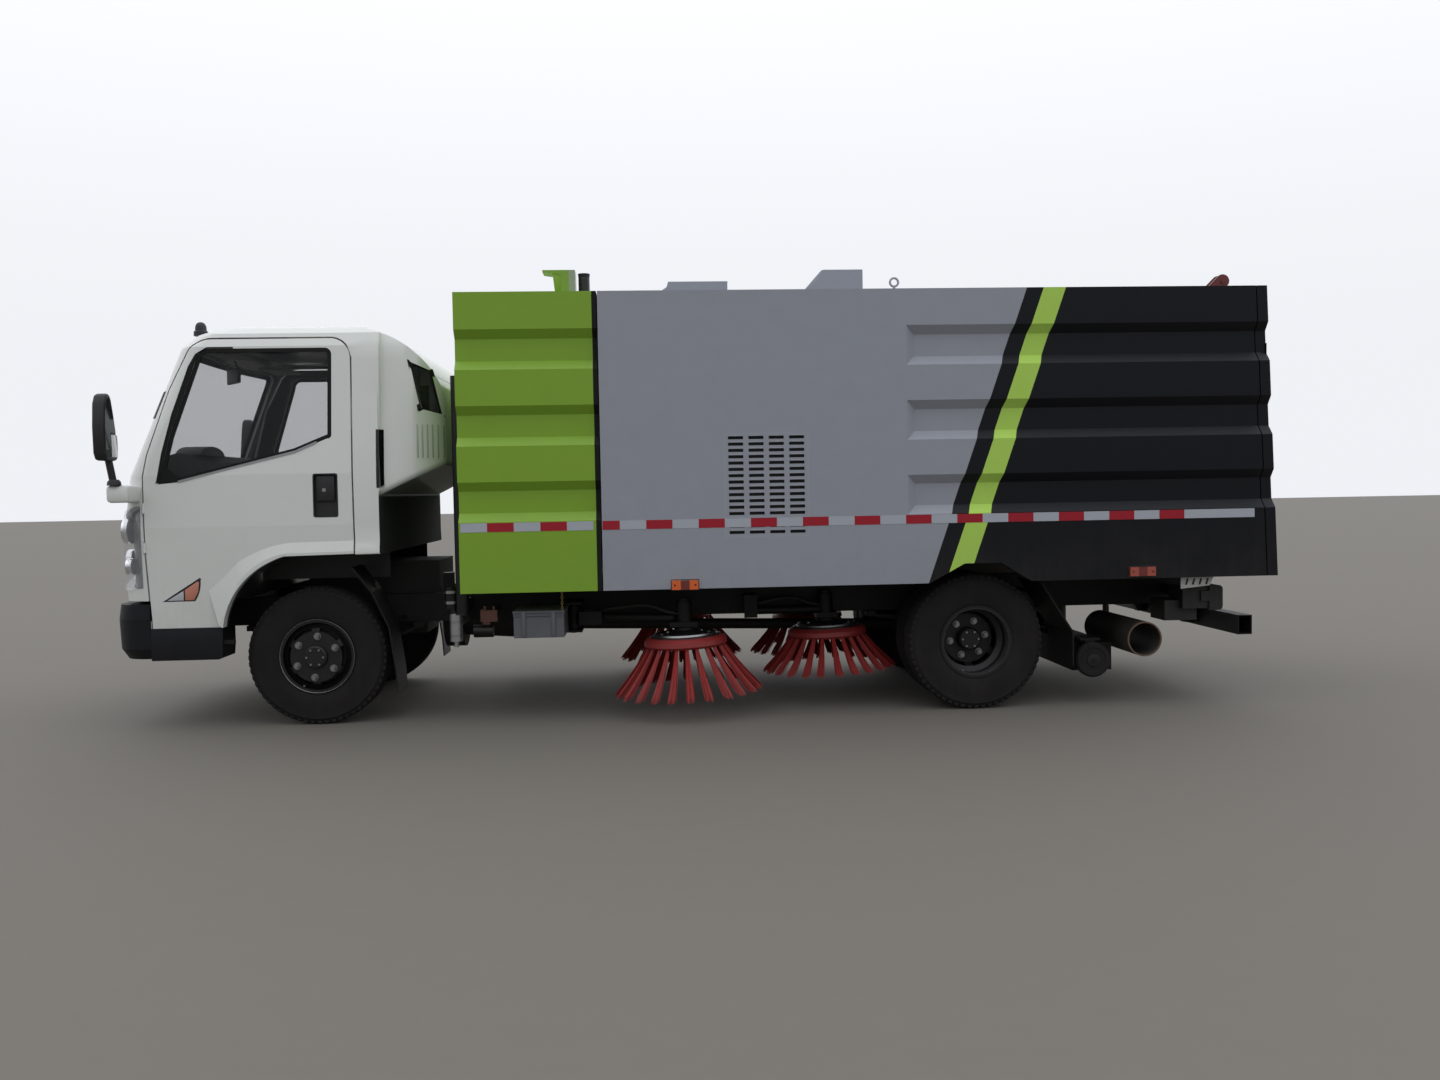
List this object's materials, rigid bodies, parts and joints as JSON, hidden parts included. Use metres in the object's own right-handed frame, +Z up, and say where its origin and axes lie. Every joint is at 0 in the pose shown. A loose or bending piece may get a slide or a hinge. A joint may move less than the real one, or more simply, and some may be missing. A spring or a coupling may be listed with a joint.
{
  "type": "street sweeper truck",
  "caption": "Vacuum street sweeper on a two-axle truck: tilting cab, green front compartment, tipping hopper with tailgate, side and middle brushes, suction nozzle.",
  "frame": {"origin": "on the ground at the middle of the vehicle's length and width", "axes": "+X to the rear, +Z up, the driver's side at -Y"},
  "size_m": [6.69, 2.4852, 2.646],
  "materials": {
    "frame_paint": "satin black chassis paint",
    "white_paint": "glossy white cab paint",
    "green_paint": "glossy green body paint",
    "grey_paint": "satin grey body paint",
    "cast_steel": "rough cast and forged steel",
    "wheel_steel": "charcoal painted pressed steel",
    "rod_steel": "ground and chromed rod",
    "black_plastic": "grained black plastic",
    "grey_plastic": "grained grey plastic",
    "trim_plastic": "moulded dark grey trim",
    "tyre_rubber": "black tyre rubber",
    "seal_rubber": "black sealing rubber",
    "window_glass": "clear safety glass",
    "lamp_glass": "clear lamp lens over a bright reflector",
    "red_lens": "red lamp lens",
    "amber_lens": "amber lamp lens",
    "seat_cloth": "woven seat cloth",
    "bristles": "red plastic bristles worn brown at their tips"
  },
  "bodies": {
    "chassis": {"chassis_frame": "frame_paint", "frame_brackets": "frame_paint", "axles": "cast_steel", "leaf_springs": "frame_paint", "engine": "cast_steel", "gearbox_and_shaft": "cast_steel", "steps_and_mudguards": "black_plastic", "underrun_bar": "frame_paint", "tail_lamps": "red_lens", "fuel_tank": "frame_paint", "battery_box": "grey_plastic", "filter_canister": "grey_paint", "intake_snorkel": "black_plastic", "front_compartment": "green_paint", "seam_seal": "seal_rubber", "auxiliary_engine": "cast_steel", "roof_fittings": "green_paint", "suction_pipes": "grey_paint"},
    "cab": {"cab_shell": "white_paint", "front_bumper": "black_plastic", "cab_glass": "window_glass", "headlamps": "lamp_glass", "dashboard": "trim_plastic", "seats": "seat_cloth", "mirrors": "black_plastic"},
    "hopper": {"hopper": "grey_paint", "louvre_panels": "grey_paint", "marker_lamps": "amber_lens", "hopper_roof_fittings": "grey_paint"},
    "tailgate": {"tailgate": "grey_paint"},
    "tip_barrel": {"tip_barrel": "frame_paint"},
    "tip_rod": {"tip_rod": "rod_steel"},
    "nozzle_links": {"nozzle_links": "frame_paint"},
    "suction_nozzle": {"suction_nozzle": "frame_paint"},
    "door_left": {"door_left": "white_paint", "door_glass_left": "window_glass"},
    "door_right": {"door_right": "white_paint", "door_glass_right": "window_glass"},
    "knuckle_left": {"knuckle_left": "cast_steel"},
    "front_wheel_left": {"front_wheel_left": "wheel_steel", "front_tyre_left": "tyre_rubber"},
    "rear_wheels_left": {"rear_wheels_left": "wheel_steel", "rear_tyres_left": "tyre_rubber"},
    "knuckle_right": {"knuckle_right": "cast_steel"},
    "front_wheel_right": {"front_wheel_right": "wheel_steel", "front_tyre_right": "tyre_rubber"},
    "rear_wheels_right": {"rear_wheels_right": "wheel_steel", "rear_tyres_right": "tyre_rubber"},
    "outer_swing_left": {"outer_brush_swing_left": "frame_paint"},
    "outer_arm_left": {"outer_brush_arm_left": "frame_paint"},
    "outer_brush_left": {"outer_brush_left": "bristles"},
    "inner_arm_left": {"inner_brush_arm_left": "frame_paint"},
    "inner_brush_left": {"inner_brush_left": "bristles"},
    "outer_swing_right": {"outer_brush_swing_right": "frame_paint"},
    "outer_arm_right": {"outer_brush_arm_right": "frame_paint"},
    "outer_brush_right": {"outer_brush_right": "bristles"},
    "inner_arm_right": {"inner_brush_arm_right": "frame_paint"},
    "inner_brush_right": {"inner_brush_right": "bristles"},
    "nozzle_wheel_left": {"nozzle_wheel_left": "tyre_rubber"},
    "nozzle_wheel_right": {"nozzle_wheel_right": "tyre_rubber"}
  },
  "joints": [
    {"name": "cab_tilt", "type": "hinge", "parent": "chassis", "child": "cab", "pos_m": [-3.24, 0, 0.43], "axis": [0, -1, 0], "range_deg": [0, 45]},
    {"name": "door_left_hinge", "type": "hinge", "parent": "cab", "child": "door_left", "pos_m": [-3.087, -0.98, 1.15], "axis": [0, 0, -1], "range_deg": [0, 70]},
    {"name": "door_right_hinge", "type": "hinge", "parent": "cab", "child": "door_right", "pos_m": [-3.087, 0.98, 1.15], "axis": [0, 0, 1], "range_deg": [0, 70]},
    {"name": "steer_left", "type": "hinge", "parent": "chassis", "child": "knuckle_left", "pos_m": [-2.195, -0.69, 0.395], "axis": [0, 0, 1], "range_deg": [-35, 35]},
    {"name": "front_wheel_left_spin", "type": "hinge", "parent": "knuckle_left", "child": "front_wheel_left", "pos_m": [-2.195, -0.77, 0.395], "axis": [0, 1, 0], "continuous": true},
    {"name": "rear_wheels_left_spin", "type": "hinge", "parent": "chassis", "child": "rear_wheels_left", "pos_m": [1.605, -0.765, 0.395], "axis": [0, 1, 0], "continuous": true},
    {"name": "steer_right", "type": "hinge", "parent": "chassis", "child": "knuckle_right", "pos_m": [-2.195, 0.69, 0.395], "axis": [0, 0, 1], "range_deg": [-35, 35]},
    {"name": "front_wheel_right_spin", "type": "hinge", "parent": "knuckle_right", "child": "front_wheel_right", "pos_m": [-2.195, 0.77, 0.395], "axis": [0, 1, 0], "continuous": true},
    {"name": "rear_wheels_right_spin", "type": "hinge", "parent": "chassis", "child": "rear_wheels_right", "pos_m": [1.605, 0.765, 0.395], "axis": [0, 1, 0], "continuous": true},
    {"name": "hopper_tip", "type": "hinge", "parent": "chassis", "child": "hopper", "pos_m": [3.135, 0, 0.8], "axis": [0, 1, 0], "range_deg": [0, 45]},
    {"name": "tailgate_hinge", "type": "hinge", "parent": "hopper", "child": "tailgate", "pos_m": [3.249, 0, 2.525], "axis": [0, -1, 0], "range_deg": [0, 85]},
    {"name": "tip_barrel_swing", "type": "hinge", "parent": "chassis", "child": "tip_barrel", "pos_m": [0.555, 0, 0.6], "axis": [0, -1, 0], "range_deg": [0, 29.25]},
    {"name": "tip_rod_slide", "type": "slide", "parent": "tip_barrel", "child": "tip_rod", "axis": [0.9969, 0, 0.0785], "range_m": [0, 0.63]},
    {"name": "outer_swing_left", "type": "hinge", "parent": "chassis", "child": "outer_swing_left", "pos_m": [-0.745, -0.6, 0.56], "axis": [0, 0, -1], "range_deg": [0, 20]},
    {"name": "outer_lift_left", "type": "hinge", "parent": "outer_swing_left", "child": "outer_arm_left", "pos_m": [-0.615, -0.64, 0.56], "axis": [0, -1, 0], "range_deg": [-5, 3]},
    {"name": "outer_brush_left_spin", "type": "hinge", "parent": "outer_arm_left", "child": "outer_brush_left", "pos_m": [-0.083, -0.8, 0.44], "axis": [-0.0436, 0, 0.999], "continuous": true},
    {"name": "inner_lift_left", "type": "hinge", "parent": "chassis", "child": "inner_arm_left", "pos_m": [0.328, -0.47, 0.56], "axis": [0, -1, 0], "range_deg": [-5, 3]},
    {"name": "inner_brush_left_spin", "type": "hinge", "parent": "inner_arm_left", "child": "inner_brush_left", "pos_m": [0.803, -0.47, 0.44], "axis": [-0.0436, 0, 0.999], "continuous": true},
    {"name": "outer_swing_right", "type": "hinge", "parent": "chassis", "child": "outer_swing_right", "pos_m": [-0.745, 0.6, 0.56], "axis": [0, 0, 1], "range_deg": [0, 20]},
    {"name": "outer_lift_right", "type": "hinge", "parent": "outer_swing_right", "child": "outer_arm_right", "pos_m": [-0.615, 0.64, 0.56], "axis": [0, -1, 0], "range_deg": [-5, 3]},
    {"name": "outer_brush_right_spin", "type": "hinge", "parent": "outer_arm_right", "child": "outer_brush_right", "pos_m": [-0.083, 0.8, 0.44], "axis": [-0.0436, 0, 0.999], "continuous": true},
    {"name": "inner_lift_right", "type": "hinge", "parent": "chassis", "child": "inner_arm_right", "pos_m": [0.328, 0.47, 0.56], "axis": [0, -1, 0], "range_deg": [-5, 3]},
    {"name": "inner_brush_right_spin", "type": "hinge", "parent": "inner_arm_right", "child": "inner_brush_right", "pos_m": [0.803, 0.47, 0.44], "axis": [-0.0436, 0, 0.999], "continuous": true},
    {"name": "nozzle_lower", "type": "hinge", "parent": "chassis", "child": "nozzle_links", "pos_m": [1.795, 0, 0.33], "axis": [0, 1, 0], "range_deg": [0, 19.8]},
    {"name": "nozzle_level", "type": "hinge", "parent": "nozzle_links", "child": "suction_nozzle", "pos_m": [2.265, 0, 0.4], "axis": [0, 1, 0], "range_deg": [-19.8, 0]},
    {"name": "nozzle_wheel_left_spin", "type": "hinge", "parent": "suction_nozzle", "child": "nozzle_wheel_left", "pos_m": [2.31, -0.93, 0.267], "axis": [0, 1, 0], "continuous": true},
    {"name": "nozzle_wheel_right_spin", "type": "hinge", "parent": "suction_nozzle", "child": "nozzle_wheel_right", "pos_m": [2.31, 0.93, 0.267], "axis": [0, 1, 0], "continuous": true}
  ],
  "couplings": [
    {"joint": "steer_right", "follows": "steer_left", "ratio": 1},
    {"joint": "tip_barrel_swing", "follows": "hopper_tip", "ratio": 0.65},
    {"joint": "tip_rod_slide", "follows": "hopper_tip", "m_per_rad": 0.8},
    {"joint": "nozzle_level", "follows": "nozzle_lower", "ratio": -1}
  ]
}
